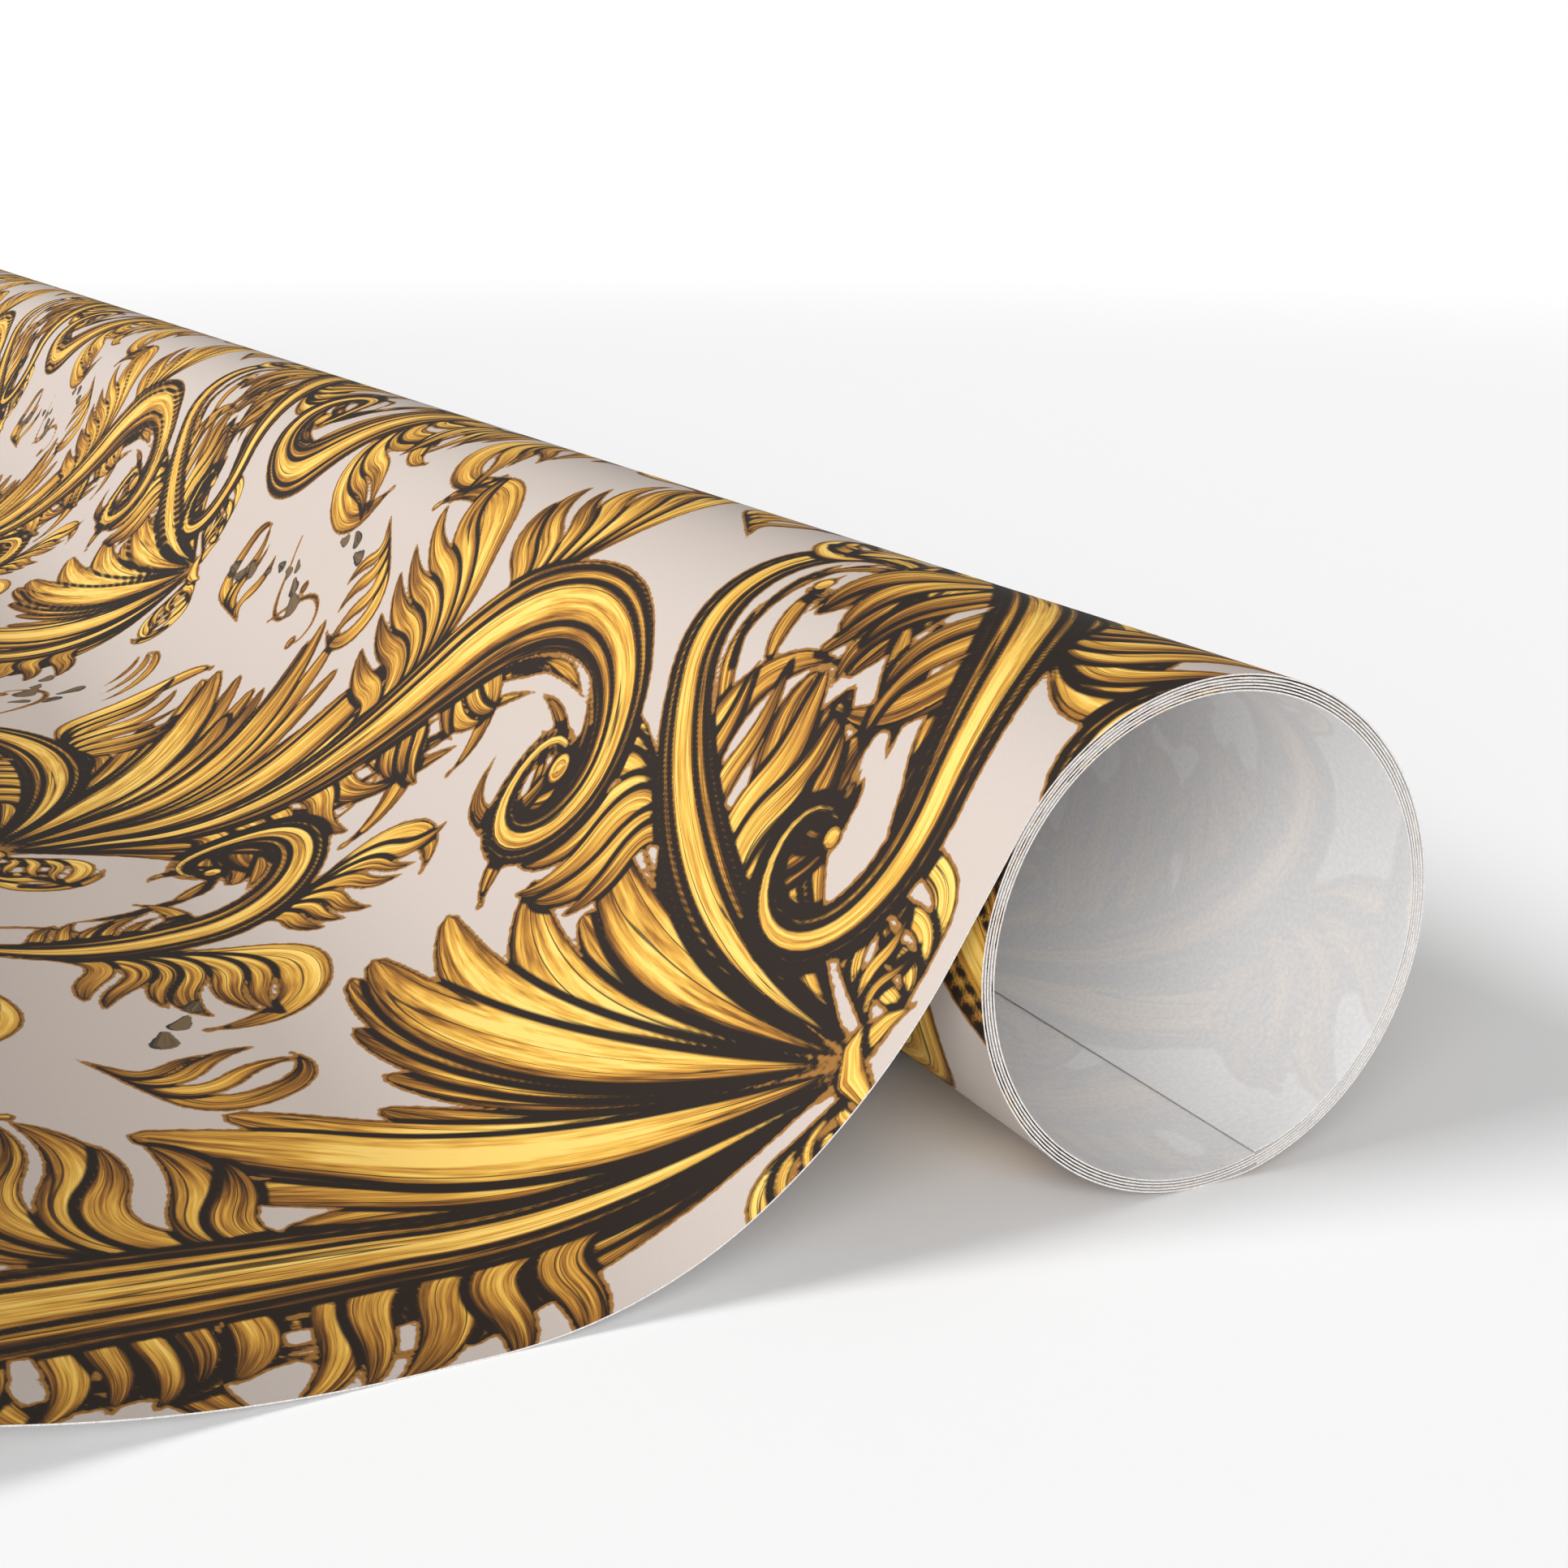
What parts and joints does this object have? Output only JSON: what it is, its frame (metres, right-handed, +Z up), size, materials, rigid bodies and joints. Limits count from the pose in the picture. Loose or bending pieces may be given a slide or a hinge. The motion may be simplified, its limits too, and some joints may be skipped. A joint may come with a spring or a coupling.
{
  "type": "wrapping paper roll",
  "caption": "Coreless roll of printed gift wrap lying on its side, its end drawn off in a hollow curve over the floor and rising in a low hump to its free edge.",
  "frame": {"origin": "centre of the part's footprint on the floor", "axes": "+Y along the roll away from the near end, +Z up, sheet drawn off towards -X"},
  "size_m": [0.1975, 0.762, 0.0427],
  "materials": {
    "printed_paper": "matte"
  },
  "bodies": {
    "outer_turns": {"winding_5": "printed_paper", "outer_turn": "printed_paper"},
    "winding_4": {"winding_4": "printed_paper"},
    "winding_3": {"winding_3": "printed_paper"},
    "winding_2": {"winding_2": "printed_paper"},
    "winding_1": {"winding_1": "printed_paper"},
    "lead_off": {"lead_off": "printed_paper", "foot": "printed_paper"},
    "tail": {"floor_strip": "printed_paper", "hump": "printed_paper", "free_end": "printed_paper"}
  },
  "joints": [
    {"name": "coil_spin", "type": "hinge", "parent": "outer_turns", "child": "winding_4", "pos_m": [0.07728, 0, 0.02125], "axis": [0, 1, 0], "continuous": true},
    {"name": "telescope_3", "type": "slide", "parent": "winding_4", "child": "winding_3", "axis": [0, -1, 0], "range_m": [-0.012, 0.012]},
    {"name": "telescope_2", "type": "slide", "parent": "winding_3", "child": "winding_2", "axis": [0, -1, 0], "range_m": [-0.012, 0.012]},
    {"name": "telescope_1", "type": "slide", "parent": "winding_2", "child": "winding_1", "axis": [0, -1, 0], "range_m": [-0.012, 0.012]},
    {"name": "lead_off_lift", "type": "hinge", "parent": "outer_turns", "child": "lead_off", "pos_m": [0.05901, 0, 0.03245], "axis": [0, 1, 0], "range_deg": [0, 45], "stiffness_Nm_per_rad": 0.02},
    {"name": "tail_lift", "type": "hinge", "parent": "lead_off", "child": "tail", "pos_m": [0.01731, 0, 0.00006], "axis": [0, 1, 0], "range_deg": [0, 90], "stiffness_Nm_per_rad": 0.02}
  ],
  "couplings": [
    {"joint": "telescope_2", "follows": "telescope_3", "ratio": 1},
    {"joint": "telescope_1", "follows": "telescope_3", "ratio": 1}
  ]
}
